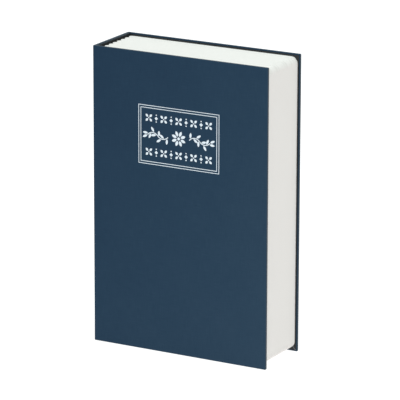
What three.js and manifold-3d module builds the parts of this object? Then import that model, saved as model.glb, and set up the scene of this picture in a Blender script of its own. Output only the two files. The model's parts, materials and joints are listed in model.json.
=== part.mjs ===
// Book diversion safe: a cloth-covered book case around a moulded page block
// that hides a steel box with a hinged lid and a cam lock.
// Millimetres, +Z up. The book stands on its tail: front cover at -Y, spine at -X,
// fore-edge at +X. The origin is the middle of the footprint.

import * as THREE from 'three';
import { mergeVertices } from 'three/addons/utils/BufferGeometryUtils.js';
import Module from 'manifold-3d';

const wasm = await Module();
wasm.setup();

// Case
const caseWidth = 154;
const caseDepth = 55;
const caseHeight = 240;
const boardThickness = 1.5;
const clothThickness = 0.35;
const paperThickness = 0.25;
const turnIn = 14;
const paperMargin = 1;
const jointWidth = 3.2;
const jointRounding = 1;
const coverCorner = 0.8;
const mitreGap = 0.3;
const pasteGap = 0.2;

// Page block
const headSquare = 2.2;
const tailSquare = 2.8;
const foreSquare = 1.8;
const spineClearance = 1.75;
const coverClearance = 0.3;
const signatureCount = 8;
const signatureDepth = 2.2;
const blockCorner = 5.4;
const blockEdge = 0.8;
const blockWall = 2;
const cavityCorner = 1;
const rimThickness = 2.4;
const lipDepth = 4.4;
const lipThickness = 2.4;

// Rim of the block round the lid, and the steel box behind it
const rimSide = 14;
const rimEnd = 13;
const steelGauge = 1;
const boxCorner = 4;
const flangeClearance = 0.7;
const openingClearance = 0.8;
const lidLap = 2.2;

// Moulded pins and push nuts that hold the flange
const pinRadius = 1.6;
const pinStand = 3;
const pinInset = 21.5;
const pushNutWidth = 1.7;
const pushNutGauge = 0.5;
const pushNutDome = 0.6;
const pushNutRim = 0.6;
const pushNutSlitEnd = 0.5;
const runningGap = 0.3;

// Lid
const lidGauge = 1.2;
const lidSeat = 0.3;
const lidCorner = 3;
const panelMargin = 9;
const panelCorner = 6;

// Piano hinge
const knuckleRadius = 2;
const hingePinRadius = 0.9;
const leafGauge = 0.8;
const lidLeafWidth = 11;
const boxLeafWidth = 13;
const knuckleCount = 9;
const hingeInset = 6;
const knuckleGap = 0.4;

// Cam lock
const lockInset = 20;
const lockHeadRadius = 9.5;
const lockHeadThickness = 1.8;
const lockHeadChamfer = 0.6;
const lockBodyRadius = 7.5;
const lockBodyLength = 14;
const lockFlat = 6.7;
const washerRadius = 10.5;
const washerGauge = 0.8;
const nutAcrossFlats = 19;
const nutThickness = 3;
const nutChamfer = 1.4;
const plugRadius = 5.2;
const plugHeadRadius = 6.2;
const plugHeadThickness = 1.1;
const plugRecess = 0.3;
const keywayWidth = 1.8;
const keywayHeight = 7;
const keywayDepth = 11;
const tangSide = 6;
const camGauge = 1.8;
const camWidth = 10;
const camBossRadius = 6;
const camEngagement = 1.5;
const camSlotClearance = 0.6;
const camSlotHead = 2.5;
const camScrewHeadRadius = 4;
const camScrewHeadHeight = 1.8;
const camScrewHeadChamfer = 0.8;
const camScrewCollarRadius = 5;
const camScrewCollarHeight = 0.6;
const camScrewSeat = 0.1;
const camScrewRadius = 1.7;
const camScrewLength = 7;
const camScrewSlot = 1;

// Curves: sides of round work, and segments of a quarter circle and of a small bend
const roundSides = 32;
const smallRoundSides = 16;
const cornerSegments = 8;
const bendSegments = 5;
const edgeSegments = 3;
const smallestBend = 0.01;

// How far a cutter passes through the face it opens, and how far two joined
// forms run into each other
const overcut = 1;
const overlap = 0.5;

// Faces of the case
const left = -caseWidth / 2;
const right = caseWidth / 2;
const front = -caseDepth / 2;
const rear = caseDepth / 2;
const coverThickness = 2 * clothThickness + boardThickness + paperThickness;
const frontInner = front + coverThickness;
const rearInner = rear - coverThickness;
const spineInner = left + coverThickness;
const coverStart = left + jointWidth;

// Page block
const blockLeft = spineInner + spineClearance;
const blockRight = right - foreSquare;
const blockFront = frontInner + coverClearance;
const blockRear = rearInner;
const blockBottom = tailSquare;
const blockTop = caseHeight - headSquare;
const rimBack = blockFront + rimThickness;
const lipBack = blockFront + lipDepth;
const cavityLeft = blockLeft + signatureDepth + blockWall;

// Steel box, centred in the block; half sizes are of the box's inside
const boxX = (blockLeft + blockRight) / 2;
const boxZ = (blockBottom + blockTop) / 2;
const openingHalfWidth = (blockRight - blockLeft) / 2 - rimSide;
const openingHalfHeight = (blockTop - blockBottom) / 2 - rimEnd;
const openingGrow = lidLap + openingClearance;
const boxHalfWidth = openingHalfWidth - openingGrow;
const boxHalfHeight = openingHalfHeight - openingGrow;
const boxWallLeft = boxX - boxHalfWidth;
const boxWallRight = boxX + boxHalfWidth;
const flangeSide = rimSide - signatureDepth - blockWall - flangeClearance;
const flangeEnd = rimEnd - blockWall - flangeClearance;
const flangeFront = lipBack;
const flangeBack = flangeFront + steelGauge;
const pushNutRadius = pinRadius + pushNutWidth;

// Lid and its hinge axis
const lidBack = flangeFront - lidSeat;
const lidFront = lidBack - lidGauge;
const panelFront = lidBack;
const panelBack = panelFront + lidGauge;
const hingeX = boxWallLeft + knuckleRadius;
const hingeY = lidBack + leafGauge - knuckleRadius;
const lidLeft = hingeX + knuckleRadius + knuckleGap;
const lidRight = boxX + openingHalfWidth - openingClearance;
const lidHalfHeight = openingHalfHeight - openingClearance;
const panelLeft = hingeX + lidLeafWidth + lidGauge + runningGap;
const hingeBottom = boxZ - boxHalfHeight + hingeInset;
const hingeTop = boxZ + boxHalfHeight - hingeInset;

// Lock, on the lid's middle line near the fore-edge
const lockX = boxWallRight - lockInset;
const housingBack = panelFront + lockBodyLength;
const camFront = housingBack + runningGap;
const camBack = camFront + camGauge;
const camTip = lockInset + steelGauge + camEngagement;

// One closed geometry as a solid that can be cut and joined
function solidOf(geometry) {
  const bare = geometry.clone();
  for (const name of ['normal', 'uv']) bare.deleteAttribute(name);
  const merged = mergeVertices(bare, 1e-4);
  const vertProperties = new Float32Array(merged.attributes.position.array);
  const triVerts = new Uint32Array(merged.index.array);
  return new wasm.Manifold(new wasm.Mesh({ numProp: 3, vertProperties, triVerts }));
}

// Back to a geometry, with coordinates rounded to 0.1 micrometre, so that
// faces that meet lie in one plane
function geometryOf(solid) {
  const { vertProperties, triVerts } = solid.getMesh();
  const settled = vertProperties.map((value) => Math.round(value * 1e4) / 1e4);
  const geometry = new THREE.BufferGeometry();
  geometry.setAttribute('position', new THREE.BufferAttribute(settled, 3));
  geometry.setIndex(new THREE.BufferAttribute(triVerts, 1));
  const faceted = geometry.toNonIndexed();
  faceted.computeVertexNormals();
  return faceted;
}

function block(x0, x1, y0, y1, z0, z1) {
  const geometry = new THREE.BoxGeometry(x1 - x0, y1 - y0, z1 - z0);
  geometry.translate((x0 + x1) / 2, (y0 + y1) / 2, (z0 + z1) / 2);
  return solidOf(geometry);
}

// A shape drawn in x and y, carried along z
function prismZ(shape, z0, z1, curveSegments = bendSegments) {
  const geometry = new THREE.ExtrudeGeometry(shape, { depth: z1 - z0, bevelEnabled: false, curveSegments });
  geometry.translate(0, 0, z0);
  return solidOf(geometry);
}

// A shape drawn in x and z, carried along y; edge rounds both ends
function prismY(shape, y0, y1, edge = 0) {
  const geometry = new THREE.ExtrudeGeometry(shape, {
    depth: y1 - y0 - 2 * edge,
    bevelEnabled: edge > 0,
    bevelThickness: edge,
    bevelSize: edge,
    bevelOffset: -edge,
    bevelSegments: edgeSegments,
    curveSegments: cornerSegments,
  });
  geometry.translate(0, 0, -y1 + edge);
  geometry.rotateX(Math.PI / 2);
  return solidOf(geometry);
}

// A profile of [radius, y] points, turned about a line along y
function turned(points, x, z, sides = roundSides) {
  const profile = points.map(([radius, y]) => new THREE.Vector2(radius, y));
  const geometry = new THREE.LatheGeometry(profile, sides);
  geometry.translate(x, 0, z);
  return solidOf(geometry);
}

function rod(radius, x, y0, y1, z, sides = roundSides) {
  return turned([[0, y0], [radius, y0], [radius, y1], [0, y1]], x, z, sides);
}

// A rod that stands along z
function post(radius, x, y, z0, z1, sides = smallRoundSides) {
  const geometry = new THREE.CylinderGeometry(radius, radius, z1 - z0, sides);
  geometry.rotateX(Math.PI / 2);
  geometry.translate(x, y, (z0 + z1) / 2);
  return solidOf(geometry);
}

// A rectangle whose corners are rounded by spineCorner on its left and corner on its right
function outline(x0, x1, z0, z1, corner, spineCorner = corner) {
  const shape = new THREE.Shape();
  shape.moveTo(x0 + spineCorner, z0);
  shape.lineTo(x1 - corner, z0);
  if (corner > 0) shape.absarc(x1 - corner, z0 + corner, corner, -Math.PI / 2, 0);
  shape.lineTo(x1, z1 - corner);
  if (corner > 0) shape.absarc(x1 - corner, z1 - corner, corner, 0, Math.PI / 2);
  shape.lineTo(x0 + spineCorner, z1);
  if (spineCorner > 0) shape.absarc(x0 + spineCorner, z1 - spineCorner, spineCorner, Math.PI / 2, Math.PI);
  shape.lineTo(x0, z0 + spineCorner);
  if (spineCorner > 0) shape.absarc(x0 + spineCorner, z0 + spineCorner, spineCorner, Math.PI, 1.5 * Math.PI);
  return shape;
}

const paints = {
  cloth: { color: 0x2b4155, roughness: 0.8, metalness: 0 },
  board: { color: 0x8f877a, roughness: 0.9, metalness: 0 },
  paper: { color: 0x202123, roughness: 0.85, metalness: 0 },
  plastic: { color: 0xebefeb, roughness: 0.45, metalness: 0 },
  blackSteel: { color: 0x1c1d1f, roughness: 0.5, metalness: 0.3 },
  zincSteel: { color: 0xb4b6b8, roughness: 0.4, metalness: 0.9 },
  chrome: { color: 0xd6d8da, roughness: 0.15, metalness: 1 },
};

function piece(name, solid, paint) {
  const mesh = new THREE.Mesh(geometryOf(solid), new THREE.MeshStandardMaterial(paints[paint]));
  mesh.name = name;
  return mesh;
}

// Cover layers, measured inwards from the outer face of a cover
const layers = {
  boardOut: clothThickness,
  boardIn: clothThickness + boardThickness,
  turnInFace: 2 * clothThickness + boardThickness,
  paperFace: coverThickness,
};

// The y range of a layer of the front or rear cover
function coverRange(outerY, inward, from, to) {
  const a = outerY + inward * from;
  const b = outerY + inward * to;
  return [Math.min(a, b), Math.max(a, b)];
}

function coverBoard(outerY, inward) {
  const [y0, y1] = coverRange(outerY, inward, layers.boardOut, layers.boardIn);
  const shape = outline(
    coverStart,
    right - clothThickness,
    clothThickness,
    caseHeight - clothThickness,
    coverCorner - clothThickness,
    0,
  );
  return prismY(shape, y0, y1);
}

// Cloth over the outer face, round three edges and back over the inner face,
// where the turn-ins meet in mitres
function coverCloth(outerY, inward) {
  const [y0, y1] = coverRange(outerY, inward, 0, layers.turnInFace);
  const [boardY0, boardY1] = coverRange(outerY, inward, layers.boardOut, layers.boardIn);
  const [faceY0, faceY1] = coverRange(outerY, inward, layers.boardIn, layers.turnInFace + overcut);
  const wrap = prismY(outline(coverStart, right, 0, caseHeight, coverCorner, 0), y0, y1);
  const boardRoom = prismY(
    outline(
      coverStart - overcut,
      right - clothThickness,
      clothThickness,
      caseHeight - clothThickness,
      coverCorner - clothThickness,
      0,
    ),
    boardY0,
    boardY1,
  );
  const window = block(coverStart - overcut, right - turnIn, faceY0, faceY1, turnIn, caseHeight - turnIn);
  let cloth = wrap.subtract(boardRoom).subtract(window);
  for (const head of [false, true]) cloth = cloth.subtract(mitre(head, faceY0, faceY1));
  return cloth;
}

// The slit between two turn-ins at a fore-edge corner
function mitre(head, y0, y1) {
  const reach = turnIn - coverCorner;
  const length = reach * Math.SQRT2 + overcut;
  const slit = new THREE.BoxGeometry(length, y1 - y0, mitreGap);
  slit.rotateY(head ? -Math.PI / 4 : Math.PI / 4);
  const middle = coverCorner + reach / 2 + overcut / 2 / Math.SQRT2;
  slit.translate(right - middle, (y0 + y1) / 2, head ? caseHeight - middle : middle);
  return solidOf(slit);
}

// Paper pasted on the board and over the turn-ins
function coverPaper(outerY, inward) {
  const [pasteY0, pasteY1] = coverRange(outerY, inward, layers.boardIn, layers.paperFace);
  const [sheetY0, sheetY1] = coverRange(outerY, inward, layers.turnInFace, layers.paperFace);
  const sheet = block(
    coverStart,
    right - paperMargin,
    sheetY0,
    sheetY1,
    paperMargin,
    caseHeight - paperMargin,
  );
  const pasted = block(
    coverStart,
    right - turnIn - pasteGap,
    pasteY0,
    pasteY1,
    turnIn + pasteGap,
    caseHeight - turnIn - pasteGap,
  );
  return sheet.add(pasted);
}

// The folded corner between the spine and a cover, seen from the head
function foldShape(outerY, inward, thickness) {
  const shape = new THREE.Shape();
  const turn = (x, y) => [left + x, outerY + inward * y];
  const inner = Math.max(jointRounding - thickness, smallestBend);
  shape.moveTo(...turn(jointWidth, 0));
  shape.lineTo(...turn(jointRounding, 0));
  shape.quadraticCurveTo(...turn(0, 0), ...turn(0, jointRounding));
  shape.lineTo(...turn(0, jointWidth));
  shape.lineTo(...turn(thickness, jointWidth));
  shape.lineTo(...turn(thickness, thickness + inner));
  shape.quadraticCurveTo(...turn(thickness, thickness), ...turn(thickness + inner, thickness));
  shape.lineTo(...turn(jointWidth, thickness));
  return shape;
}

// Cloth round that corner, doubled at head and tail where it is turned in
function jointCloth(outerY, inward) {
  const doubled = foldShape(outerY, inward, 2 * clothThickness);
  return prismZ(foldShape(outerY, inward, clothThickness), 0, caseHeight)
    .add(prismZ(doubled, 0, turnIn))
    .add(prismZ(doubled, caseHeight - turnIn, caseHeight));
}

const spineHalf = caseDepth / 2 - jointWidth;

function spineBoard() {
  return block(
    left + layers.boardOut,
    left + layers.boardIn,
    -spineHalf,
    spineHalf,
    clothThickness,
    caseHeight - clothThickness,
  );
}

function spineCloth() {
  const wrap = block(left, left + layers.turnInFace, -spineHalf, spineHalf, 0, caseHeight);
  const boardRoom = block(
    left + layers.boardOut,
    left + layers.boardIn,
    -spineHalf - overcut,
    spineHalf + overcut,
    clothThickness,
    caseHeight - clothThickness,
  );
  const window = block(
    left + layers.boardIn,
    left + layers.turnInFace + overcut,
    -spineHalf - overcut,
    spineHalf + overcut,
    turnIn,
    caseHeight - turnIn,
  );
  return wrap.subtract(boardRoom).subtract(window);
}

function spineLining() {
  const sheet = block(
    left + layers.turnInFace,
    left + layers.paperFace,
    -spineHalf,
    spineHalf,
    paperMargin,
    caseHeight - paperMargin,
  );
  const pasted = block(
    left + layers.boardIn,
    left + layers.paperFace,
    -spineHalf,
    spineHalf,
    turnIn + pasteGap,
    caseHeight - turnIn - pasteGap,
  );
  return sheet.add(pasted);
}

// The block seen from its head: eight rounded signature backs along the spine side
function signatureShape() {
  const shape = new THREE.Shape();
  const pitch = (blockRear - blockFront) / signatureCount;
  const valley = blockLeft + signatureDepth;
  shape.moveTo(blockRight + overcut, blockFront);
  shape.lineTo(blockRight + overcut, blockRear);
  shape.lineTo(valley, blockRear);
  for (let i = signatureCount; i > 0; i -= 1) {
    const y = blockFront + pitch * i;
    shape.quadraticCurveTo(valley - 2 * signatureDepth, y - pitch / 2, valley, y - pitch);
  }
  return shape;
}

// A rectangle round the box's inside, grown at the sides and at the ends
function boxRectangle(growSide, growEnd, corner) {
  return outline(
    boxX - boxHalfWidth - growSide,
    boxX + boxHalfWidth + growSide,
    boxZ - boxHalfHeight - growEnd,
    boxZ + boxHalfHeight + growEnd,
    corner,
  );
}

const openingCorner = lidCorner + openingClearance;

// Middles of the moulded pins, three down each long side of the opening
function pinPlaces() {
  const reach = openingHalfWidth + (lipThickness + flangeSide) / 2;
  const pitch = boxHalfHeight - pinInset;
  const places = [];
  for (const side of [-1, 1]) {
    for (const step of [-1, 0, 1]) places.push([boxX + side * reach, boxZ + step * pitch]);
  }
  return places;
}

function pageBlock() {
  const sides = outline(blockLeft, blockRight, blockBottom, blockTop, blockCorner, 0);
  const outer = prismY(sides, blockFront, blockRear, blockEdge);
  const signatures = prismZ(signatureShape(), blockBottom - overcut, blockTop + overcut, cornerSegments);
  const cavity = prismY(
    outline(
      cavityLeft,
      blockRight - blockWall,
      blockBottom + blockWall,
      blockTop - blockWall,
      blockCorner - blockWall,
      cavityCorner,
    ),
    rimBack,
    blockRear + overcut,
  );
  const lipGrow = openingGrow + lipThickness;
  const lip = prismY(boxRectangle(lipGrow, lipGrow, openingCorner + lipThickness), rimBack - overlap, lipBack);
  const opening = prismY(
    boxRectangle(openingGrow, openingGrow, openingCorner),
    blockFront - overcut,
    lipBack + overcut,
  );
  let body = outer.intersect(signatures).subtract(cavity).add(lip).subtract(opening);
  for (const [x, z] of pinPlaces()) {
    body = body.add(rod(pinRadius, x, rimBack - overlap, flangeBack + pinStand, z, smallRoundSides));
  }
  return body;
}

function steelBox() {
  const walls = prismY(boxRectangle(steelGauge, steelGauge, boxCorner + steelGauge), flangeFront, blockRear);
  const flange = prismY(
    boxRectangle(openingGrow + flangeSide, openingGrow + flangeEnd, openingCorner + flangeEnd),
    flangeFront,
    flangeBack,
  );
  const room = prismY(boxRectangle(0, 0, boxCorner), flangeFront - overcut, blockRear - steelGauge);
  // The cam's rounded tip meets the wall while its middle is still above the lock
  const half = camWidth / 2;
  const swing = Math.sqrt((camTip - half) ** 2 - (lockInset - half) ** 2);
  const slot = block(
    boxWallRight - overcut,
    boxWallRight + steelGauge + overcut,
    camFront - camSlotClearance,
    camBack + camSlotClearance,
    boxZ - half - camSlotClearance,
    boxZ + swing + camSlotHead + camSlotClearance,
  );
  let box = walls.add(flange).subtract(room).subtract(slot);
  const pinHole = pinRadius + runningGap;
  for (const [x, z] of pinPlaces()) {
    box = box.subtract(rod(pinHole, x, flangeFront - overcut, flangeBack + overcut, z, smallRoundSides));
  }
  return box;
}

// A domed ring with four slits, pressed over a pin, drawn about the pin's middle
function pushNut() {
  const bore = pinRadius + runningGap;
  const knee = pushNutRadius - pushNutRim;
  const rise = pushNutDome;
  const ring = turned(
    [
      [bore, rise],
      [knee, 0],
      [pushNutRadius, 0],
      [pushNutRadius, pushNutGauge],
      [knee, pushNutGauge],
      [bore, rise + pushNutGauge],
      [bore, rise],
    ],
    0,
    0,
    smallRoundSides,
  );
  const reach = pushNutRadius - pushNutSlitEnd;
  const half = pushNutGauge / 2;
  const back = rise + pushNutGauge + overcut;
  const across = block(-reach, reach, -overcut, back, -half, half);
  const upright = block(-half, half, -overcut, back, -reach, reach);
  return ring.subtract(across).subtract(upright);
}

function lidPanel() {
  const plate = prismY(
    outline(lidLeft, lidRight, boxZ - lidHalfHeight, boxZ + lidHalfHeight, lidCorner, 0),
    lidFront,
    lidBack,
  );
  const pressed = (grow, y0, y1) =>
    prismY(
      outline(
        panelLeft - grow,
        lidRight - panelMargin + grow,
        boxZ - lidHalfHeight + panelMargin - grow,
        boxZ + lidHalfHeight - panelMargin + grow,
        panelCorner + grow,
      ),
      y0,
      y1,
    );
  const hole = rod(lockBodyRadius + runningGap, lockX, panelFront - overcut, panelBack + overcut, boxZ);
  const flats = lockFlat + runningGap;
  const hold = block(
    lockX - flats,
    lockX + flats,
    panelFront - overcut,
    panelBack + overcut,
    boxZ - 2 * lockBodyRadius,
    boxZ + 2 * lockBodyRadius,
  );
  return plate
    .add(pressed(lidGauge, lidBack - overlap, panelBack))
    .subtract(pressed(0, lidFront - overcut, panelFront))
    .subtract(hole.intersect(hold));
}

const knucklePitch = (hingeTop - hingeBottom) / knuckleCount;

// Knuckles of one leaf: every second one, starting at first
function knuckles(first) {
  const rows = [];
  for (let i = first; i < knuckleCount; i += 2) {
    const z0 = hingeBottom + i * knucklePitch;
    rows.push([z0 + knuckleGap / 2, z0 + knucklePitch - knuckleGap / 2]);
  }
  return rows;
}

// A leaf with its own knuckles rolled over the pin, and notches for the other leaf's
function hingeLeaf(first, leafBox, rootBox) {
  let leaf = leafBox(hingeBottom, hingeTop);
  for (const [z0, z1] of knuckles(first)) {
    leaf = leaf.add(rootBox(z0, z1)).add(post(knuckleRadius, hingeX, hingeY, z0, z1));
  }
  const bore = post(hingePinRadius + runningGap, hingeX, hingeY, hingeBottom - overcut, hingeTop + overcut);
  return leaf.subtract(bore);
}

function hingeLidLeaf() {
  const clear = hingeX + knuckleRadius + knuckleGap;
  const leafBack = lidBack + leafGauge;
  const leafBox = (z0, z1) => block(clear, hingeX + lidLeafWidth, lidBack, leafBack, z0, z1);
  const rootBox = (z0, z1) => block(hingeX, clear + overlap, lidBack, leafBack, z0, z1);
  return hingeLeaf(1, leafBox, rootBox);
}

function hingeBoxLeaf() {
  const clear = hingeY + knuckleRadius + knuckleGap;
  const leafRight = boxWallLeft + leafGauge;
  const leafBox = (z0, z1) => block(boxWallLeft, leafRight, clear, hingeY + boxLeafWidth, z0, z1);
  const rootBox = (z0, z1) => block(boxWallLeft, leafRight, hingeY, clear + overlap, z0, z1);
  return hingeLeaf(0, leafBox, rootBox);
}

function hingePin() {
  return post(hingePinRadius, hingeX, hingeY, hingeBottom, hingeTop);
}

// The lock pieces are drawn about the lock's own axis, at x = 0 and z = 0
function lockHousing() {
  const headFront = panelFront - lockHeadThickness;
  const counterbore = headFront + plugRecess + plugHeadThickness + runningGap;
  const bore = plugRadius + runningGap;
  const sinkRadius = plugHeadRadius + runningGap;
  const body = turned(
    [
      [sinkRadius, headFront],
      [lockHeadRadius - lockHeadChamfer, headFront],
      [lockHeadRadius, headFront + lockHeadChamfer],
      [lockHeadRadius, panelFront],
      [lockBodyRadius, panelFront],
      [lockBodyRadius, housingBack],
      [bore, housingBack],
      [bore, counterbore],
      [sinkRadius, counterbore],
      [sinkRadius, headFront],
    ],
    0,
    0,
  );
  const reach = 2 * lockBodyRadius;
  const flatLeft = block(-reach, -lockFlat, panelFront, housingBack + overcut, -reach, reach);
  const flatRight = block(lockFlat, reach, panelFront, housingBack + overcut, -reach, reach);
  return body.subtract(flatLeft).subtract(flatRight);
}

function lockWasher() {
  const bore = lockBodyRadius + runningGap;
  const back = panelBack + washerGauge;
  return turned(
    [
      [bore, panelBack],
      [washerRadius, panelBack],
      [washerRadius, back],
      [bore, back],
      [bore, panelBack],
    ],
    0,
    0,
  );
}

function lockNut() {
  const corner = nutAcrossFlats / Math.sqrt(3);
  const y0 = panelBack + washerGauge;
  const y1 = y0 + nutThickness;
  const blank = turned([[0, y0], [corner, y0], [corner, y1], [0, y1]], 0, 0, 6);
  const wide = corner + overcut;
  const below = y0 - overcut;
  const dome = turned(
    [[0, below], [wide, below], [wide, y1 - nutChamfer], [nutAcrossFlats / 2, y1], [0, y1]],
    0,
    0,
  );
  const bore = rod(lockBodyRadius + runningGap, 0, below, y1 + overcut, 0);
  return blank.intersect(dome).subtract(bore);
}

function lockPlug() {
  const face = panelFront - lockHeadThickness + plugRecess;
  const shoulder = face + plugHeadThickness;
  const stem = turned(
    [
      [0, face],
      [plugHeadRadius, face],
      [plugHeadRadius, shoulder],
      [plugRadius, shoulder],
      [plugRadius, camFront - runningGap / 2],
      [0, camFront - runningGap / 2],
    ],
    0,
    0,
  );
  const half = tangSide / 2;
  const tang = block(-half, half, camFront - overcut, camBack - runningGap, -half, half);
  const key = block(
    -keywayWidth / 2,
    keywayWidth / 2,
    face - overcut,
    face + keywayDepth,
    -keywayHeight / 2,
    keywayHeight / 2,
  );
  const tapped = rod(
    camScrewRadius + runningGap,
    0,
    camBack - camScrewLength - runningGap,
    camBack + overcut,
    0,
    smallRoundSides,
  );
  return stem.add(tang).subtract(key).subtract(tapped);
}

// A flat arm on a square hole, pointing up when the lock is open
function lockCam() {
  const half = camWidth / 2;
  const shape = new THREE.Shape();
  shape.moveTo(half, 0);
  shape.lineTo(half, camTip - half);
  shape.absarc(0, camTip - half, half, 0, Math.PI);
  shape.lineTo(-half, 0);
  shape.absarc(0, 0, half, Math.PI, 2 * Math.PI);
  const arm = prismY(shape, camFront, camBack);
  const boss = rod(camBossRadius, 0, camFront, camBack, 0);
  const hole = tangSide / 2 + runningGap;
  return arm.add(boss).subtract(block(-hole, hole, camFront - overcut, camBack + overcut, -hole, hole));
}

// A slotted head on a collar that holds the cam on its tang
function camScrew() {
  const seat = camBack + camScrewSeat;
  const shoulder = seat + camScrewCollarHeight;
  const top = seat + camScrewHeadHeight;
  const screw = turned(
    [
      [0, seat - camScrewLength],
      [camScrewRadius, seat - camScrewLength],
      [camScrewRadius, seat],
      [camScrewCollarRadius, seat],
      [camScrewCollarRadius, shoulder],
      [camScrewHeadRadius, shoulder],
      [camScrewHeadRadius - camScrewHeadChamfer, top],
      [0, top],
    ],
    0,
    0,
  );
  const reach = camScrewHeadRadius + overcut;
  const half = camScrewSlot / 2;
  return screw.subtract(block(-reach, reach, top - camScrewSlot, top + overcut, -half, half));
}

function rearCase() {
  const group = new THREE.Group();
  group.add(
    piece('rear_board', coverBoard(rear, -1), 'board'),
    piece('rear_cloth', coverCloth(rear, -1), 'cloth'),
    piece('rear_endpaper', coverPaper(rear, -1), 'paper'),
    piece('rear_joint_cloth', jointCloth(rear, -1), 'cloth'),
  );
  return group;
}

function spine() {
  const group = new THREE.Group();
  group.add(
    piece('spine_board', spineBoard(), 'board'),
    piece('spine_cloth', spineCloth(), 'cloth'),
    piece('spine_lining', spineLining(), 'paper'),
    piece('front_joint_cloth', jointCloth(front, 1), 'cloth'),
  );
  return group;
}

function frontCover() {
  const group = new THREE.Group();
  group.add(
    piece('front_board', coverBoard(front, 1), 'board'),
    piece('front_cloth', coverCloth(front, 1), 'cloth'),
    piece('front_endpaper', coverPaper(front, 1), 'paper'),
  );
  return group;
}

function safeBox() {
  const group = new THREE.Group();
  group.add(
    piece('page_block', pageBlock(), 'plastic'),
    piece('steel_box', steelBox(), 'blackSteel'),
    piece('hinge_box_leaf', hingeBoxLeaf(), 'blackSteel'),
    piece('hinge_pin', hingePin(), 'zincSteel'),
  );
  pinPlaces().forEach(([x, z], index) => {
    const nut = piece(`push_nut_${index + 1}`, pushNut(), 'zincSteel');
    nut.position.set(x, flangeBack, z);
    group.add(nut);
  });
  return group;
}

function lid() {
  const group = new THREE.Group();
  const lock = new THREE.Group();
  lock.position.set(lockX, 0, boxZ);
  lock.add(
    piece('lock_housing', lockHousing(), 'chrome'),
    piece('lock_washer', lockWasher(), 'zincSteel'),
    piece('lock_nut', lockNut(), 'zincSteel'),
    piece('lock_plug', lockPlug(), 'chrome'),
    piece('lock_cam', lockCam(), 'zincSteel'),
    piece('cam_screw', camScrew(), 'zincSteel'),
  );
  group.add(
    piece('lid_panel', lidPanel(), 'blackSteel'),
    piece('hinge_lid_leaf', hingeLidLeaf(), 'blackSteel'),
    lock,
  );
  return group;
}

const bookSafe = new THREE.Group();
bookSafe.name = 'book_safe';
bookSafe.add(rearCase(), spine(), frontCover(), safeBox(), lid());

export default bookSafe;
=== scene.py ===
# Book diversion safe: a cloth case round a moulded page block with a steel lock box
import json
import math

import bpy
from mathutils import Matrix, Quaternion, Vector
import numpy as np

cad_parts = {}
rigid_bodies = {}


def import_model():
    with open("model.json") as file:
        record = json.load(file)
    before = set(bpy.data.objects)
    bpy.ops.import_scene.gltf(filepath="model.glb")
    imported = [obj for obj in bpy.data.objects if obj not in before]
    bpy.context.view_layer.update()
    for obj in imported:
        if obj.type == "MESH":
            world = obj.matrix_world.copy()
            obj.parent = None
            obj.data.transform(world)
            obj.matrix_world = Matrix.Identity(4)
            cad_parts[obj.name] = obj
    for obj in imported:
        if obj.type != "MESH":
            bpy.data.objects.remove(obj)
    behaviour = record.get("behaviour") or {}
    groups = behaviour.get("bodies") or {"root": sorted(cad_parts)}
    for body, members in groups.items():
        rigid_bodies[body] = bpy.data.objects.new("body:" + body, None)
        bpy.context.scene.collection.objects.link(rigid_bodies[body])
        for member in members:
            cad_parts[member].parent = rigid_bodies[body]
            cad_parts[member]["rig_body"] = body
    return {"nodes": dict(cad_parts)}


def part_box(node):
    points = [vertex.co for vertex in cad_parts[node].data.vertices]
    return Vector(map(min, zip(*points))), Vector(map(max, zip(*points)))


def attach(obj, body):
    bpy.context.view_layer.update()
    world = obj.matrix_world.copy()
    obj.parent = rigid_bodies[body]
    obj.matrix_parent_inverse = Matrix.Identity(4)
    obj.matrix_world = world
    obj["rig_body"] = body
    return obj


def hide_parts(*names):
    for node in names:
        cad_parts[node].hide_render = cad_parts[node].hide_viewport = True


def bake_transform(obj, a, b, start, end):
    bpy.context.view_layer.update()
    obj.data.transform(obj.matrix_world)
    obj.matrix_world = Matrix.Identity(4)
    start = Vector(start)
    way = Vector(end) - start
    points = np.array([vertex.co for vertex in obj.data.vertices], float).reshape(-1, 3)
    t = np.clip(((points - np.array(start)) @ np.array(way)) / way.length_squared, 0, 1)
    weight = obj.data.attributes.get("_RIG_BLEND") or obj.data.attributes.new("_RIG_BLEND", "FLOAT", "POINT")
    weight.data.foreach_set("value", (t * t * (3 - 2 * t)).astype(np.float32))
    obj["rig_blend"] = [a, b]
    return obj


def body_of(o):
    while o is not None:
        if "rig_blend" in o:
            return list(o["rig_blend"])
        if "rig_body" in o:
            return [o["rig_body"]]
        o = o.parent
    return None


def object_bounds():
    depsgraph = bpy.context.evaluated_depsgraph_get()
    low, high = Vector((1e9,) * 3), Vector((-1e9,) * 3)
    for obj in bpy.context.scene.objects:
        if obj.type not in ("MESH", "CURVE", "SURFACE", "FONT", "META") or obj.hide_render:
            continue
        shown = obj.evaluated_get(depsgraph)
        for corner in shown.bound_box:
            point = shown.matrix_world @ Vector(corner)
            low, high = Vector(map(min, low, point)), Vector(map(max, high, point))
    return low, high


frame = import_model()
cadBounds = [list(corner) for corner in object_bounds()]
nodes = frame["nodes"]
mm = 0.001
turnIn = 14 * mm  # cloth folded over the inner side of the boards
print("frame loaded,", len(nodes), "nodes")


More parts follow.
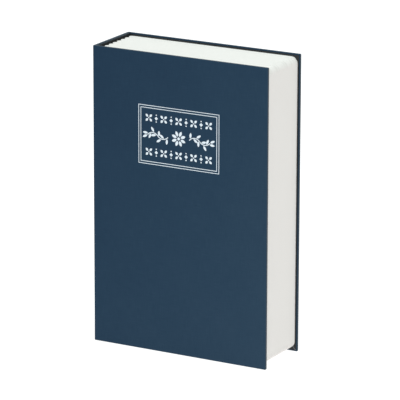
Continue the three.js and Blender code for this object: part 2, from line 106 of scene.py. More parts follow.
# one output socket of a node, which can stand in a sum
class Wire:
    def __init__(self, sheet, socket):
        self.sheet = sheet
        self.socket = socket

    def calc(self, operation, *values):
        return self.sheet.add("ShaderNodeMath", dict(operation=operation), list(values))

    def __add__(self, other):
        return self.calc("ADD", self, other)

    def __radd__(self, other):
        return self.calc("ADD", other, self)

    def __sub__(self, other):
        return self.calc("SUBTRACT", self, other)

    def __rsub__(self, other):
        return self.calc("SUBTRACT", other, self)

    def __mul__(self, other):
        return self.calc("MULTIPLY", self, other)

    def __rmul__(self, other):
        return self.calc("MULTIPLY", other, self)

    def __abs__(self):
        return self.calc("ABSOLUTE", self)

    def sine(self):
        return self.calc("SINE", self)

    def above(self, limit):
        return self.calc("GREATER_THAN", self, limit)

    def larger(self, other):
        return self.calc("MAXIMUM", self, other)

    def smaller(self, other):
        return self.calc("MINIMUM", self, other)

    def rise(self, start, end):
        # 0 up to start, 1 from end on, and soft between them
        settings = dict(interpolation_type="SMOOTHSTEP")
        return self.sheet.add("ShaderNodeMapRange", settings, [self, start, end])


# the node sheet of one material
class Sheet:
    def __init__(self, name):
        self.material = bpy.data.materials.new(name)
        self.material.use_nodes = True
        self.tree = self.material.node_tree
        self.shader = self.tree.nodes["Principled BSDF"]

    def add(self, kind, settings=None, values=None, output=0):
        node = self.tree.nodes.new(kind)
        for key, value in (settings or {}).items():
            if key == "stops":
                setStops(node.color_ramp, value)
            else:
                setattr(node, key, value)
        pairs = values.items() if isinstance(values, dict) else enumerate(values or [])
        for key, value in pairs:
            self.put(node.inputs[key], value)
        return Wire(self, node.outputs[output])

    def put(self, socket, value):
        if isinstance(value, Wire):
            self.tree.links.new(value.socket, socket)
        elif isinstance(value, tuple):
            room = len(socket.default_value)
            socket.default_value = value + (1,) * (room - len(value))
        else:
            socket.default_value = value

    def finish(self, **values):
        for key, value in values.items():
            self.put(self.shader.inputs[key.replace("_", " ")], value)
        return self.material

    def place(self):
        return self.add("ShaderNodeTexCoord", output=3)

    def facing(self):
        return self.add("ShaderNodeTexCoord", output=1)

    def threads(self):
        return self.add("ShaderNodeUVMap", dict(uv_map="threads"))

    def parts(self, vector):
        first = self.add("ShaderNodeSeparateXYZ", values=[vector])
        return [Wire(self, socket) for socket in first.socket.node.outputs]

    def stretched(self, vector, scale):
        return self.add("ShaderNodeMapping", values={"Vector": vector, "Scale": scale})

    def noise(self, vector, scale, detail=2.0, roughness=0.5):
        values = {"Vector": vector, "Scale": scale, "Detail": detail, "Roughness": roughness}
        return self.add("ShaderNodeTexNoise", values=values)

    def mixed(self, mask, first, second):
        return self.add("ShaderNodeMix", dict(data_type="RGBA"), {0: mask, 6: first, 7: second}, 2)

    def ramp(self, value, stops):
        return self.add("ShaderNodeValToRGB", dict(stops=stops), [value])

    def bump(self, height, distance):
        return self.add("ShaderNodeBump", values={"Height": height, "Distance": distance})


def setStops(ramp, stops):
    while len(ramp.elements) < len(stops):
        ramp.elements.new(0.5)
    for element, (place, colour) in zip(ramp.elements, stops):
        element.position = place
        element.color = (*colour, 1)


def paint(*levels):
    # a colour as seen on a screen, 0 to 255, in the shader's own scale
    scaled = [level / 255 for level in levels]
    return tuple(c / 12.92 if c <= 0.04045 else ((c + 0.055) / 1.055) ** 2.4 for c in scaled)


bookCloth = dict(
    deep=paint(29, 53, 75),
    colour=paint(37, 61, 82),
    pale=paint(46, 69, 89),
    threadPitch=0.5,
    threadWander=0.4,
    weaveDepth=0.03 * mm,
    roughness=0.65,
    sheen=0.25,
    sheenRoughness=0.4,
    specular=0.05,
    # painted light: how much paler the cloth is painted towards the fore-edge and the tail
    handled=0.2,
    handledAcross=0.6 / 77,
    handledDown=0.5 / 120,
    halfHeight=120,
    # rubbed wear and painted sheen on the covers' narrow edges
    rubbed=0.4,
    rubbedAtEnds=0.45,
    rubbedColour=paint(92, 95, 94),
)


def makeBookCloth(cloth):
    sheet = Sheet("book_cloth")
    # the map runs in millimetres along the threads
    flat = sheet.threads()
    across, along, _ = sheet.parts(flat)
    turn = math.pi / cloth["threadPitch"]
    wander = sheet.noise(sheet.stretched(flat, (0.3, 0.3, 1)), 1.0) * cloth["threadWander"]
    warp = ((across + wander) * turn).sine()
    weft = ((along + wander) * turn).sine()
    over = warp * weft * 0.5 + 0.5
    crown = abs(warp) * over + abs(weft) * (1 - over)
    slubAcross = sheet.noise(sheet.stretched(flat, (0.1, 2.0, 1)), 1.0, 3.0)
    slubAlong = sheet.noise(sheet.stretched(flat, (2.0, 0.1, 1)), 1.0, 3.0)
    slub = (slubAcross + slubAlong) * 0.5
    cloud = sheet.noise(sheet.stretched(flat, (0.025, 0.025, 1)), 1.0, 3.0, 0.6)
    # painted light: the cloth is painted paler towards the fore-edge and the tail, a lighting gradient put
    # into the colour
    handled = across * cloth["handledAcross"] - (along - cloth["halfHeight"]) * cloth["handledDown"]
    tone = sheet.ramp(
        slub * 0.8 + cloud * 0.2 + handled * cloth["handled"],
        [(0.25, cloth["deep"]), (0.5, cloth["colour"]), (0.75, cloth["pale"])],
    )
    # the covers' narrow edges are painted greyer and lighter, most of all along the fore-edge: rubbed wear
    # together with painted sheen on the faces turned to the light
    towardsFore, _, towardsHead = sheet.parts(sheet.facing())
    onEnds = abs(towardsHead).rise(0.3, 0.9) * cloth["rubbedAtEnds"]
    onEdge = towardsFore.rise(0.3, 0.9).larger(onEnds)
    rubbed = onEdge * (cloud + 0.5) * cloth["rubbed"]
    woven = sheet.mixed(crown * 0.4 + 0.6, cloth["deep"], tone)
    return sheet.finish(
        Base_Color=sheet.mixed(rubbed, woven, cloth["rubbedColour"]),
        Roughness=slub * 0.2 + cloth["roughness"],
        Normal=sheet.bump(crown + slub * 0.8, cloth["weaveDepth"]),
        Specular_IOR_Level=cloth["specular"],
        Sheen_Weight=cloth["sheen"],
        Sheen_Roughness=cloth["sheenRoughness"],
    )


pagePlastic = dict(
    colour=paint(241, 238, 235),
    shaded=paint(232, 227, 223),
    linePitch=0.45,
    lineDrift=0.3,
    lineDepth=0.05 * mm,
    roughness=0.5,
    specular=0.2,
    # painted shade in streaks at the rounded fore-edge corners
    streak=0.35,
    streakColour=paint(210, 208, 202),
    streakStart=1 * mm,
    streakReach=8 * mm,
)


def makePagePlastic(plastic):
    sheet = Sheet("page_plastic")
    place = sheet.place()
    across, depth, height = sheet.parts(place)
    lo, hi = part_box("page_block")
    start, end = plastic["streakStart"], plastic["streakReach"]
    # round the two fore-edge corners some pages are painted darker in streaks: painted shade where the lit
    # top turns to the shaded side
    fromEnd = (hi.z - height).smaller(height - lo.z)
    inCorner = (1 - (hi.x - across).rise(start, end)) * (1 - fromEnd.rise(start, end))
    shadedPages = sheet.noise(sheet.stretched(place, (40, 650, 40)), 1.0, 3.0).rise(0.45, 0.6)
    # moulded page lines run round the block, one beside the next from cover to cover
    drift = sheet.noise(place, 45.0) * plastic["lineDrift"]
    line = (depth * (1 / mm) + drift) * (2 * math.pi / plastic["linePitch"])
    ridge = line.sine() * 0.5 + 0.5
    cloud = sheet.noise(place, 25.0, 3.0)
    fine = sheet.noise(place, 2500.0)
    # the grooves between the page lines are painted towards the shaded colour: painted shade, with random
    # tone from the cloud
    plain = sheet.mixed(0.35 - ridge * 0.35 + cloud * 0.2, plastic["colour"], plastic["shaded"])
    return sheet.finish(
        Base_Color=sheet.mixed(inCorner * shadedPages * plastic["streak"], plain, plastic["streakColour"]),
        Roughness=fine * 0.1 + plastic["roughness"],
        Normal=sheet.bump(ridge + fine * 0.12, plastic["lineDepth"]),
        Specular_IOR_Level=plastic["specular"],
    )


endpaper = dict(
    colours=[(0.3, paint(40, 42, 44)), (0.55, paint(50, 53, 55)), (0.8, paint(62, 65, 67))],
    roughness=0.72,
    specular=0.3,
    # painted highlight along the crease over the mitres
    creaseColour=paint(150, 156, 160),
    creaseWidth=0.5 * mm,
    creaseWander=1.2 * mm,
    creaseDepth=0.12 * mm,
)


def makeEndpaper(paper):
    sheet = Sheet("endpaper")
    place = sheet.place()
    across, _, along = sheet.parts(place)
    fibre = sheet.noise(sheet.stretched(place, (900, 900, 260)), 1.0, 3.0, 0.6)
    cloud = sheet.noise(place, 22.0, 3.0)
    # at the tail the paper is painted pale along the crease where it lies over the mitres of the turned-in
    # cloth: a painted highlight on the ridge, together with rubbed wear
    fromEdge = cadBounds[1][0] - across
    wander = (sheet.noise(place, 300.0) - 0.5) * paper["creaseWander"]
    offLine = abs(fromEdge - along + wander) * (1 / paper["creaseWidth"])
    onTurnIn = 1 - fromEdge.above(turnIn)
    crease = (1 - offLine).above(0.0) * (1 - offLine) * onTurnIn
    # painted highlight and wear along the crease
    rubbed = crease * (sheet.noise(place, 800.0, 3.0, 0.6) + 0.35)
    plain = sheet.ramp(fibre * 0.6 + cloud * 0.4, paper["colours"])
    return sheet.finish(
        Base_Color=sheet.mixed(rubbed, plain, paper["creaseColour"]),
        Roughness=fibre * 0.15 + paper["roughness"],
        Normal=sheet.bump(fibre * 0.25 + crease, paper["creaseDepth"]),
        Specular_IOR_Level=paper["specular"],
    )


greyboard = dict(
    dark=paint(128, 120, 108),
    light=paint(165, 156, 142),
    fleck=paint(88, 82, 74),
    roughness=0.82,
    pulpDepth=0.06 * mm,
)


def makeGreyboard(board):
    sheet = Sheet("greyboard")
    place = sheet.place()
    pulp = sheet.noise(place, 700.0, 4.0, 0.65)
    fleck = sheet.noise(place, 1900.0, 1.0).above(0.68)
    grey = sheet.mixed(pulp, board["dark"], board["light"])
    return sheet.finish(
        Base_Color=sheet.mixed(fleck * 0.5, grey, board["fleck"]),
        Roughness=pulp * 0.1 + board["roughness"],
        Normal=sheet.bump(pulp, board["pulpDepth"]),
    )


blackSteel = dict(
    dark=paint(22, 22, 24),
    light=paint(36, 36, 39),
    roughness=0.4,
    peelDepth=0.04 * mm,
)


def makeBlackSteel(steel):
    sheet = Sheet("black_powder_coat")
    place = sheet.place()
    peel = sheet.noise(place, 1500.0)
    coarse = sheet.noise(place, 420.0)
    cloud = sheet.noise(place, 18.0, 3.0)
    return sheet.finish(
        Base_Color=sheet.mixed(cloud * 0.7, steel["dark"], steel["light"]),
        Roughness=coarse * 0.16 + steel["roughness"],
        Normal=sheet.bump(peel * 0.6 + coarse * 0.6, steel["peelDepth"]),
    )


zincSteel = dict(
    dark=paint(176, 178, 180),
    light=paint(205, 205, 203),
    roughness=0.27,
    grainDepth=0.012 * mm,
)


def makeZinc(zinc):
    sheet = Sheet("zinc_steel")
    place = sheet.place()
    grain = sheet.noise(sheet.stretched(place, (2600, 2600, 150)), 1.0)
    bloom = sheet.noise(place, 180.0, 3.0, 0.6)
    return sheet.finish(
        Base_Color=sheet.mixed(bloom, zinc["dark"], zinc["light"]),
        Metallic=1.0,
        Roughness=grain * 0.14 + zinc["roughness"],
        Normal=sheet.bump(grain, zinc["grainDepth"]),
    )


lockChrome = dict(
    dark=paint(212, 214, 217),
    light=paint(226, 227, 229),
    roughness=0.08,
    hairDepth=0.004 * mm,
)


def makeChrome(chrome):
    sheet = Sheet("lock_chrome")
    place = sheet.place()
    smear = sheet.noise(place, 160.0, 3.0, 0.6)
    hair = sheet.noise(sheet.stretched(place, (300, 300, 2600)), 1.0)
    return sheet.finish(
        Base_Color=sheet.mixed(smear, chrome["dark"], chrome["light"]),
        Metallic=1.0,
        Roughness=smear * 0.08 + hair * 0.05 + chrome["roughness"],
        Normal=sheet.bump(hair, chrome["hairDepth"]),
    )


silverFoil = dict(
    dark=paint(208, 220, 230),
    light=paint(232, 242, 249),
    metal=0.5,
    roughness=0.3,
    wornAbove=0.7,
    wearDepth=0.02 * mm,
)


def makeFoil(silver):
    sheet = Sheet("silver_foil")
    place = sheet.place()
    wear = sheet.noise(place, 900.0, 3.0, 0.6)
    worn = wear.above(silver["wornAbove"])
    bright = sheet.mixed(wear, silver["dark"], silver["light"])
    return sheet.finish(
        Base_Color=sheet.mixed(worn * 0.6, bright, bookCloth["colour"]),
        Metallic=silver["metal"] - worn * 0.4,
        Roughness=wear * 0.2 + silver["roughness"],
        Normal=sheet.bump(wear, silver["wearDepth"]),
    )


clothFinish = makeBookCloth(bookCloth)
pageFinish = makePagePlastic(pagePlastic)
paperFinish = makeEndpaper(endpaper)
boardFinish = makeGreyboard(greyboard)
steelFinish = makeBlackSteel(blackSteel)
zincFinish = makeZinc(zincSteel)
chromeFinish = makeChrome(lockChrome)
foilFinish = makeFoil(silverFoil)
print("finishes made")


# modelling by hand
def deselectAll():
    if bpy.context.object and bpy.context.object.mode != "OBJECT":
        bpy.ops.object.mode_set(mode="OBJECT")
    bpy.ops.object.select_all(action="DESELECT")


def makeActive(piece):
    deselectAll()
    piece.select_set(True)
    bpy.context.view_layer.objects.active = piece


def newPiece(name):
    # takes over the primitive that was just added
    piece = bpy.context.object
    bpy.ops.object.transform_apply(location=True, rotation=True, scale=True)
    piece.name = piece.data.name = name
    return piece


def addBlock(name, corner, opposite):
    deselectAll()
    lo = Vector(map(min, corner, opposite))
    hi = Vector(map(max, corner, opposite))
    bpy.ops.mesh.primitive_cube_add(size=1, location=(lo + hi) / 2, scale=hi - lo)
    return newPiece(name)


def pick(piece, kind, test):
    # goes into edit mode with the faces, edges or vertices that pass the test selected
    makeActive(piece)
    bpy.ops.object.mode_set(mode="EDIT")
    bpy.ops.mesh.select_mode(type=kind)
    bpy.ops.mesh.select_all(action="DESELECT")
    bpy.ops.object.mode_set(mode="OBJECT")
    mesh = piece.data
    corners = mesh.vertices
    if kind == "FACE":
        for face in mesh.polygons:
            face.select = bool(test(face.center, face.normal))
    elif kind == "EDGE":
        for edge in mesh.edges:
            edge.select = bool(test(*[corners[index].co for index in edge.vertices]))
    else:
        for corner in corners:
            corner.select = bool(test(corner.co))
    bpy.ops.object.mode_set(mode="EDIT")


def near(a, b, slack=0.002 * mm):
    return abs(a - b) < slack


def roundEdges(piece, radius, segments, test):
    pick(piece, "EDGE", test)
    bpy.ops.mesh.bevel(offset=radius, segments=segments, affect="EDGES")


def cutFaces(piece, point, direction, test):
    pick(piece, "FACE", test)
    bpy.ops.mesh.bisect(plane_co=point, plane_no=direction, threshold=0.001 * mm)


def removeFaces(piece, test):
    pick(piece, "FACE", test)
    bpy.ops.mesh.delete(type="FACE")


def addModifier(piece, kind, **settings):
    modifier = piece.modifiers.new(kind.lower(), kind)
    for key, value in settings.items():
        setattr(modifier, key, value)
    makeActive(piece)
    bpy.ops.object.modifier_apply(modifier=modifier.name)


def smoothOver(piece, angle=40):
    makeActive(piece)
    bpy.ops.object.shade_smooth_by_angle(angle=math.radians(angle))


def evenNormals(piece):
    # a big flat keeps its own normal beside a small round
    addModifier(piece, "WEIGHTED_NORMAL", keep_sharp=True, weight=80)


def mapThreads(piece):
    # lays the threads on each face, in millimetres
    mesh = piece.data
    while mesh.uv_layers:
        mesh.uv_layers.remove(mesh.uv_layers[0])
    layer = mesh.uv_layers.new(name="threads")
    for face in mesh.polygons:
        sizes = [abs(part) for part in face.normal]
        facing = sizes.index(max(sizes))
        across = 1 if facing == 0 else 0
        along = 1 if facing == 2 else 2
        for index in face.loop_indices:
            place = mesh.vertices[mesh.loops[index].vertex_index].co
            layer.data[index].uv = (place[across] / mm, place[along] / mm)


def dress(piece, finish, body=None, replaced=()):
    piece.data.materials.clear()
    piece.data.materials.append(finish)
    if body:
        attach(piece, body)
    if replaced:
        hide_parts(*replaced)
    print("made", piece.name, len(piece.data.polygons), "faces")


case = dict(
    cloth=0.35 * mm,
    corner=0.8 * mm,
    cornerSteps=6,
    edge=0.5 * mm,
    edgeSteps=4,
    mitreWidth=0.5 * mm,
    mitreSteps=2,
    mitreHeight=0.15 * mm,
    foldRound=1.0 * mm,
    foldInner=0.5 * mm,
    foldSteps=8,
    paper=0.25 * mm,
    paperMargin=1 * mm,
    paperSteps=6,
)


def finishCloth(piece):
    addModifier(piece, "SOLIDIFY", thickness=case["cloth"], offset=-1, use_even_offset=True)
    mapThreads(piece)
    smoothOver(piece)
    evenNormals(piece)


def makeCoverCloth(name, node, body, outward):
    # cloth wrapped round a board: soft edges, turned in on three sides, mitred at two corners
    lo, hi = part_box(node)
    outer, inner = (lo.y, hi.y) if outward < 0 else (hi.y, lo.y)
    piece = addBlock(name, lo, hi)
    removeFaces(piece, lambda middle, normal: near(middle.x, lo.x))
    roundEdges(
        piece,
        case["corner"],
        case["cornerSteps"],
        lambda a, b: near(a.x, hi.x) and near(b.x, hi.x) and near(a.z, b.z),
    )
    for plane in (outer, inner):
        roundEdges(
            piece,
            case["edge"],
            case["edgeSteps"],
            lambda a, b: near(a.y, plane) and near(b.y, plane) and max(a.x, b.x) > lo.x + mm,
        )
    isInside = lambda middle, normal: near(middle.y, inner)
    cutFaces(piece, (hi.x - turnIn, 0, 0), (1, 0, 0), isInside)
    for height in (lo.z + turnIn, hi.z - turnIn):
        cutFaces(piece, (0, 0, height), (0, 0, 1), isInside)
    for height, lean in ((lo.z, 1), (hi.z, -1)):
        cutFaces(
            piece,
            (hi.x, 0, height),
            (1, 0, lean),
            lambda middle, normal: near(middle.y, inner)
            and middle.x > hi.x - turnIn
            and abs(middle.z - height) < turnIn,
        )
    removeFaces(
        piece,
        lambda middle, normal: near(middle.y, inner)
        and middle.x < hi.x - turnIn
        and lo.z + turnIn < middle.z < hi.z - turnIn,
    )
    isMitre = (
        lambda a, b: near(a.y, inner)
        and near(b.y, inner)
        and abs(a.x - b.x) > mm
        and near(abs(a.x - b.x), abs(a.z - b.z))
    )
    roundEdges(piece, case["mitreWidth"], case["mitreSteps"], isMitre)
    # the line along the middle of each mitre is raised
    fromEnd = lambda place: min(abs(place.z - lo.z), abs(place.z - hi.z))
    isRidge = lambda a, b: isMitre(a, b) and near(fromEnd(a), hi.x - a.x, 0.01 * mm)
    pick(piece, "EDGE", isRidge)
    bpy.ops.transform.translate(value=(0, -outward * case["mitreHeight"], 0))
    bpy.ops.object.mode_set(mode="OBJECT")
    finishCloth(piece)
    dress(piece, clothFinish, body, [node])


def makeSpineCloth():
    lo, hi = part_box("spine_cloth")
    piece = addBlock("spine_wrap", lo, hi)
    removeFaces(piece, lambda middle, normal: abs(normal.y) > 0.5)
    for plane in (lo.x, hi.x):
        roundEdges(
            piece,
            case["edge"],
            case["edgeSteps"],
            lambda a, b: near(a.x, plane) and near(b.x, plane) and near(a.z, b.z),
        )
    for height in (lo.z + turnIn, hi.z - turnIn):
        cutFaces(piece, (0, 0, height), (0, 0, 1), lambda middle, normal: near(middle.x, hi.x))
    removeFaces(
        piece,
        lambda middle, normal: near(middle.x, hi.x) and lo.z + turnIn < middle.z < hi.z - turnIn,
    )
    bpy.ops.object.mode_set(mode="OBJECT")
    finishCloth(piece)
    dress(piece, clothFinish, "spine", ["spine_cloth"])


def makeCornerStrip(name, node, outward, close, far, steps, foot, head):
    # an L round the corner between spine and cover, from close to far behind the outer faces
    lo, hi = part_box(node)
    edgeY = lo.y if outward < 0 else hi.y
    inward = -outward
    at = lambda x, y: (lo.x + x, edgeY + inward * y)
    piece = addBlock(name, (*at(close, close), foot), (*at(far, far), head))
    reach = hi.x - lo.x
    step = (reach - far) / steps
    for index in range(steps):
        end = lo.x + far + step * index
        pick(piece, "FACE", lambda middle, normal: normal.x > 0.5 and near(middle.x, end))
        bpy.ops.mesh.extrude_region_move(TRANSFORM_OT_translate=dict(value=(step, 0, 0)))
    for index in range(steps):
        end = edgeY + inward * (far + step * index)
        isEnd = lambda middle, normal: normal.y * inward > 0.5 and near(middle.y, end)
        pick(piece, "FACE", lambda middle, normal: isEnd(middle, normal) and middle.x < lo.x + far)
        bpy.ops.mesh.extrude_region_move(TRANSFORM_OT_translate=dict(value=(0, inward * step, 0)))
    bpy.ops.object.mode_set(mode="OBJECT")
    return piece, at, reach


def bendAcross(piece, cover, at, reach, far):
    # cloth and paper bend between the inner corners of the paper's two ends
    height = 0
    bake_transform(piece, "spine", cover, start=(*at(far, reach), height), end=(*at(reach, far), height))


def makeFold(name, node, outward, cover):
    lo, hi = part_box(node)
    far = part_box("spine_cloth")[1].x - lo.x
    piece, at, reach = makeCornerStrip(name, node, outward, 0, far, 1, lo.z, hi.z)
    # the steps of the strip leave no edges across its two ends
    pick(piece, "FACE", lambda middle, normal: True)
    bpy.ops.mesh.dissolve_limited(angle_limit=math.radians(0.5))
    bpy.ops.object.mode_set(mode="OBJECT")
    isUpright = lambda a, b: near(a.x, b.x) and near(a.y, b.y)
    for (x, y), radius in ((at(0, 0), case["foldRound"]), (at(far, far), case["foldInner"])):
        roundEdges(
            piece,
            radius,
            case["foldSteps"],
            lambda a, b: isUpright(a, b) and near(a.x, x) and near(a.y, y),
        )
    endX, _ = at(reach, 0)
    _, endY = at(0, reach)
    for height in (lo.z, hi.z):
        roundEdges(
            piece,
            case["edge"],
            case["edgeSteps"],
            lambda a, b: near(a.z, height)
            and near(b.z, height)
            and not (near(a.x, endX) and near(b.x, endX))
            and not (near(a.y, endY) and near(b.y, endY)),
        )
    bpy.ops.object.mode_set(mode="OBJECT")
    mapThreads(piece)
    smoothOver(piece)
    dress(piece, clothFinish, None, [node])
    bendAcross(piece, cover, at, reach, far + case["paper"])


def makeGutter(name, node, outward, cover):
    # black paper over the boards' ends inside the fold
    lo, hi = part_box(node)
    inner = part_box("spine_cloth")[1].x - lo.x
    far = inner + case["paper"]
    foot, head = lo.z + case["paperMargin"], hi.z - case["paperMargin"]
    piece, at, reach = makeCornerStrip(
        name, node, outward, inner, far, case["paperSteps"], foot, head
    )
    smoothOver(piece)
    dress(piece, paperFinish)
    bendAcross(piece, cover, at, reach, far)


makeCoverCloth("front_wrap", "front_cloth", "front_cover", -1)
makeCoverCloth("rear_wrap", "rear_cloth", "safe", 1)
makeSpineCloth()
makeFold("front_fold", "front_joint_cloth", -1, "front_cover")
makeFold("rear_fold", "rear_joint_cloth", 1, "safe")
makeGutter("front_gutter_paper", "front_joint_cloth", -1, "front_cover")
makeGutter("rear_gutter_paper", "rear_joint_cloth", 1, "safe")


foil = dict(
    left=-36 * mm,
    right=35.3 * mm,
    foot=151.3 * mm,
    head=198.4 * mm,
    ruleWidth=0.5 * mm,
    ruleStep=1.9 * mm,
    proud=0.03 * mm,
    sunk=0.03 * mm,
    leafCorners=16,
    leafTaper=0.85,
)
rosette = dict(
    petals=8,
    petalLength=4.6 * mm,
    petalWidth=2.3 * mm,
    firstPetal=22.5,
    hub=1.2 * mm,
    hubCorners=20,
    start=1.8 * mm,
)
sprig = dict(
    start=9.5 * mm,
    wave=9.0 * mm,
    rise=2.2 * mm,
    stem=0.7 * mm,
    crestStart=0.05 * mm,
    crestSteps=8,
    hollowSteps=16,
    leaves=8,
    firstLeaf=0.6,
    leafLength=4.6 * mm,
    leafWidth=1.9 * mm,
    leafLean=48,
    gap=0.25 * mm,
)
garland = dict(
    rise=13.6 * mm,
    step=6.6 * mm,
    count=9,
    start=0.9 * mm,
    petalLength=3.0 * mm,
    petalWidth=1.9 * mm,
    lozenge=1.5 * mm,
    dot=0.55 * mm,
    dotCorners=12,
    dotRise=2.7 * mm,
)


def addSheet(name, left, right, foot, head):
    # a flat sheet that faces the reader, in the plane y = 0 as all foil until it is stamped
    deselectAll()
    middle = ((left + right) / 2, 0, (foot + head) / 2)
    bpy.ops.mesh.primitive_plane_add(size=1, location=middle, rotation=(math.pi / 2, 0, 0))
    bpy.ops.transform.resize(value=(right - left, 1, head - foot))
    return newPiece(name)


def addRule(name, inset):
    # one of the two stamped rules round the ornament
    piece = addSheet(
        name, foil["left"] + inset, foil["right"] - inset, foil["foot"] + inset, foil["head"] - inset
    )
    pick(piece, "FACE", lambda middle, normal: True)
    bpy.ops.mesh.inset(thickness=foil["ruleWidth"])
    bpy.ops.mesh.delete(type="FACE")
    bpy.ops.object.mode_set(mode="OBJECT")
    return piece


def addRound(name, radius, corners):
    # a flat disc at the origin that faces the reader
    deselectAll()
    bpy.ops.mesh.primitive_circle_add(
        vertices=corners, radius=radius, fill_type="NGON", rotation=(math.pi / 2, 0, 0)
    )
    return newPiece(name)


def addLeaf(name, length, width):
    # a pointed leaf that grows from the origin along x
    tip = length / 2
    piece = addRound(name, tip, foil["leafCorners"])
    pick(piece, "VERT", lambda place: abs(place.x) < tip - 0.01 * mm)
    bpy.ops.transform.resize(value=(foil["leafTaper"], 1, width / length))
    bpy.ops.mesh.select_all(action="SELECT")
    bpy.ops.transform.translate(value=(tip, 0, 0))
    bpy.ops.object.mode_set(mode="OBJECT")
    return piece


def placeCopy(source, x, z, degrees=0.0):
    piece = bpy.data.objects.new(f"{source.name}_copy", source.data.copy())
    bpy.context.scene.collection.objects.link(piece)
    piece.location = (x, 0, z)
    piece.rotation_euler = (0, -math.radians(degrees), 0)
    return piece


def ringOf(source, x, z, count, start, first=0.0):
    copies = []
    for index in range(count):
        degrees = first + 360 * index / count
        turn = math.radians(degrees)
        copies.append(placeCopy(source, x + start * math.cos(turn), z + start * math.sin(turn), degrees))
    return copies


def joinPieces(name, pieces):
    makeActive(pieces[0])
    for piece in pieces:
        piece.select_set(True)
    bpy.ops.object.join()
    return newPiece(name)


def discard(*pieces):
    for piece in pieces:
        bpy.data.objects.remove(piece, do_unlink=True)


def stampFoil(whole):
    pick(whole, "FACE", lambda middle, normal: True)
    bpy.ops.transform.translate(value=(0, cadBounds[0][1] - foil["proud"], 0))
    bpy.ops.object.mode_set(mode="OBJECT")
    addModifier(whole, "SOLIDIFY", thickness=foil["proud"] + foil["sunk"], offset=-1)
    dress(whole, foilFinish, "front_cover")


def makeSprig():
    # a stem of two arcs, a crest and a hollow, with leaves on both sides and a bud at its end
    wave, rise, half = sprig["wave"], sprig["rise"], sprig["stem"] / 2
    radius = (wave * wave / 4 + rise * rise) / (2 * rise)
    reach = math.asin(wave / 2 / radius)
    drop = radius - rise
    foot = sprig["start"]
    crest = foot + wave / 2
    start = sprig["crestStart"]
    # a short piece at the crest is spun to both sides, and its last edge on through the hollow
    stem = addSheet("stem", crest - start, crest + start, rise - half, rise + half)
    for side in (-1, 1):
        endX = crest + side * start
        pick(stem, "EDGE", lambda a, b: near(a.x, endX) and near(b.x, endX))
        bpy.ops.mesh.spin(
            steps=sprig["crestSteps"], angle=-side * reach, center=(endX, 0, -drop), axis=(0, 1, 0)
        )
    hollow = (crest + wave, 0, drop)
    bpy.ops.mesh.spin(steps=sprig["hollowSteps"], angle=2 * reach, center=hollow, axis=(0, 1, 0))
    bpy.ops.object.mode_set(mode="OBJECT")
    leaf = addLeaf("leaf", sprig["leafLength"], sprig["leafWidth"])
    pieces = [stem]
    for index in range(sprig["leaves"]):
        # how many arcs lie before the leaf, and how far the stem has turned there
        share = (index + sprig["firstLeaf"]) / sprig["leaves"] * 2
        turn = reach * (1 - 2 * (share % 1))
        upper = 1 if share < 1 else -1
        x = foot + wave * (math.floor(share) + 0.5) - radius * math.sin(turn)
        z = upper * (radius * math.cos(turn) - drop)
        heading = upper * turn
        side = 1 if index % 2 == 0 else -1
        away = side * (half + sprig["gap"])
        leafX = x - away * math.sin(heading)
        leafZ = z + away * math.cos(heading)
        degrees = math.degrees(heading) + side * sprig["leafLean"]
        pieces.append(placeCopy(leaf, leafX, leafZ, degrees))
    budX = foot + 2 * wave + sprig["gap"]
    pieces.append(placeCopy(leaf, budX, sprig["gap"], math.degrees(reach) / 2))
    discard(leaf)
    return joinPieces("sprig", pieces)


def makeOrnament():
    x = (foil["left"] + foil["right"]) / 2
    z = (foil["foot"] + foil["head"]) / 2
    hub = addRound("hub", rosette["hub"], rosette["hubCorners"])
    petal = addLeaf("petal", rosette["petalLength"], rosette["petalWidth"])
    pieces = [placeCopy(hub, x, z)]
    pieces += ringOf(petal, x, z, rosette["petals"], rosette["start"], rosette["firstPetal"])
    branch = makeSprig()
    pieces += ringOf(branch, x, z, 2, 0)
    smallPetal = addLeaf("small_petal", garland["petalLength"], garland["petalWidth"])
    lozenge = addRound("lozenge", garland["lozenge"], 4)
    dot = addRound("dot", garland["dot"], garland["dotCorners"])
    # small flowers and lozenges by turns, in one row above and one below
    for index in range(garland["count"]):
        at = x + garland["step"] * (index - (garland["count"] - 1) / 2)
        for row in (z - garland["rise"], z + garland["rise"]):
            if index % 2 == 0:
                pieces.append(placeCopy(dot, at, row))
                pieces += ringOf(smallPetal, at, row, 4, garland["start"], 45)
            else:
                pieces.append(placeCopy(lozenge, at, row))
                pieces += ringOf(dot, at, row, 2, garland["dotRise"], 90)
    discard(hub, petal, branch, smallPetal, lozenge, dot)
    stampFoil(joinPieces("foil_ornament", pieces))


stampFoil(joinPieces("foil_frame", [addRule("outer_rule", 0), addRule("inner_rule", foil["ruleStep"])]))
makeOrnament()


softEdges = dict(
    black_steel=dict(steel_box=0.25, lid_panel=0.3, hinge_box_leaf=0.12, hinge_lid_leaf=0.12),
    zinc_steel=dict(hinge_pin=0.1, lock_washer=0.12, lock_nut=0.15, lock_cam=0.2, cam_screw=0.12),
    lock_chrome=dict(lock_housing=0.15, lock_plug=0.12),
)


# rigid pieces keep the shape of their solids, with soft edges and even shading
def dressCopy(node, finish, edge=0.0, angle=35):
    source = nodes[node]
    piece = bpy.data.objects.new(f"{node}_finished", source.data.copy())
    bpy.context.scene.collection.objects.link(piece)
    body = body_of(source)[0]
    makeActive(piece)
    bpy.ops.mesh.customdata_custom_splitnormals_clear()
    bpy.ops.object.mode_set(mode="EDIT")
    bpy.ops.mesh.select_all(action="SELECT")
    bpy.ops.mesh.remove_doubles(threshold=0.002 * mm)
    bpy.ops.mesh.dissolve_limited(angle_limit=math.radians(0.5))
    bpy.ops.object.mode_set(mode="OBJECT")
    if edge:
        addModifier(
            piece, "BEVEL", width=edge, segments=2, limit_method="ANGLE", angle_limit=math.radians(angle)
        )
    smoothOver(piece, angle)
    evenNormals(piece)
    dress(piece, finish, body, [node])


def paintSolid(node, finish):
    nodes[node].data.materials.clear()
    nodes[node].data.materials.append(finish)


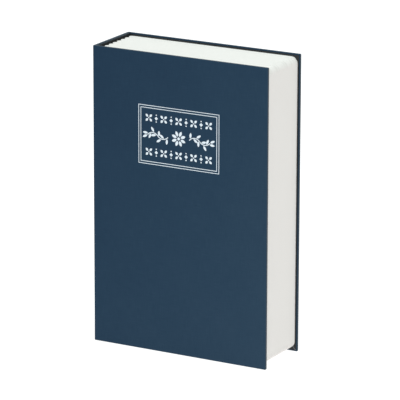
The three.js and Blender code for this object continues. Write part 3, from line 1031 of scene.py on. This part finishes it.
for node in ("front_endpaper", "rear_endpaper", "spine_lining"):
    paintSolid(node, paperFinish)
for node in ("front_board", "rear_board", "spine_board"):
    paintSolid(node, boardFinish)
dressCopy("page_block", pageFinish)
for node, edge in softEdges["black_steel"].items():
    dressCopy(node, steelFinish, edge * mm)
for node, edge in softEdges["zinc_steel"].items():
    dressCopy(node, zincFinish, edge * mm)
for number in range(1, 7):
    dressCopy(f"push_nut_{number}", zincFinish)
for node, edge in softEdges["lock_chrome"].items():
    dressCopy(node, chromeFinish, edge * mm)
print("solids dressed")


studio = dict(
    skyShown=1.0,
    skyLight=0.46,
    skyColour=(1.0, 0.985, 0.965),
    floorSize=12.0,
    floorColour=paint(150, 150, 150),
    floorRoughness=0.9,
    floorSpecular=0.1,
    floorGlow=0.9,
    aimHeight=120 * mm,
)
lamps = dict(
    key=dict(place=(-1.3, -2.2, 1.9), size=1.8, power=20, colour=(0.97, 1.0, 0.99)),
    above=dict(place=(0.5, 0.3, 2.75), size=1.8, power=48, colour=(0.86, 1.0, 0.99)),
    low=dict(place=(0.1, -1.7, 0.3), size=0.7, power=1.5, colour=(1.0, 1.0, 0.98)),
)


def makeStage():
    deselectAll()
    bpy.ops.mesh.primitive_plane_add(size=studio["floorSize"], location=(0, 0, 0))
    floor = newPiece("floor")
    sheet = Sheet("floor_paper")
    floor.data.materials.append(
        sheet.finish(
            Base_Color=studio["floorColour"],
            Roughness=studio["floorRoughness"],
            Specular_IOR_Level=studio["floorSpecular"],
            Emission_Color=(1, 1, 1),
            Emission_Strength=studio["floorGlow"],
        )
    )


def makeSky():
    # the camera sees plain white, and the object is lit by a softer sky
    world = bpy.data.worlds.new("studio")
    bpy.context.scene.world = world
    world.use_nodes = True
    tree = world.node_tree
    tree.nodes.clear()
    shown = tree.nodes.new("ShaderNodeBackground")
    shown.inputs["Strength"].default_value = studio["skyShown"]
    light = tree.nodes.new("ShaderNodeBackground")
    light.inputs["Strength"].default_value = studio["skyLight"]
    shown.inputs["Color"].default_value = (1, 1, 1, 1)
    light.inputs["Color"].default_value = (*studio["skyColour"], 1)
    path = tree.nodes.new("ShaderNodeLightPath")
    either = tree.nodes.new("ShaderNodeMixShader")
    out = tree.nodes.new("ShaderNodeOutputWorld")
    tree.links.new(path.outputs["Is Camera Ray"], either.inputs[0])
    tree.links.new(light.outputs[0], either.inputs[1])
    tree.links.new(shown.outputs[0], either.inputs[2])
    tree.links.new(either.outputs[0], out.inputs["Surface"])


def makeLamps():
    for name, lamp in lamps.items():
        data = bpy.data.lights.new(f"{name}_light", "AREA")
        data.shape = "SQUARE"
        data.size = lamp["size"]
        data.energy = lamp["power"]
        data.color = lamp["colour"]
        light = bpy.data.objects.new(f"{name}_light", data)
        bpy.context.scene.collection.objects.link(light)
        light.location = lamp["place"]
        light.rotation_mode = "QUATERNION"
        aim = Vector((0, 0, studio["aimHeight"])) - light.location
        light.rotation_quaternion = aim.to_track_quat("-Z", "Y")


# the view of the photograph, solved from the case's edges
cameraView = dict(
    azimuth=29.01,
    elevation=15.71,
    roll=0.16,
    distance=2673.7 * mm,
    sensor=36,
    lens=308.1,
    aimRight=2.95 * mm,
    aimDown=0.66 * mm,
    clipStart=0.05,
    clipEnd=50,
)


def makeCamera(view):
    lo, hi = cadBounds
    azimuth, elevation = math.radians(view["azimuth"]), math.radians(view["elevation"])
    level = math.cos(elevation)
    back = Vector((math.sin(azimuth) * level, -math.cos(azimuth) * level, math.sin(elevation)))
    right = Vector((math.cos(azimuth), math.sin(azimuth), 0))
    up = back.cross(right)
    aim = (Vector(lo) + Vector(hi)) / 2 + right * view["aimRight"] - up * view["aimDown"]
    data = bpy.data.cameras.new("camera")
    data.sensor_width = view["sensor"]
    data.lens = view["lens"]
    data.clip_start, data.clip_end = view["clipStart"], view["clipEnd"]
    camera = bpy.data.objects.new("camera", data)
    bpy.context.scene.collection.objects.link(camera)
    camera.location = aim + back * view["distance"]
    camera.rotation_mode = "QUATERNION"
    tilt = Quaternion((0, 0, 1), math.radians(view["roll"]))
    camera.rotation_quaternion = (-back).to_track_quat("-Z", "Y") @ tilt
    bpy.context.scene.camera = camera


makeStage()
makeSky()
makeLamps()
makeCamera(cameraView)
# colours are shown as they are painted
settings = bpy.context.scene.view_settings
settings.view_transform = "Standard"
settings.look = "None"
deselectAll()
print("stage and camera set")
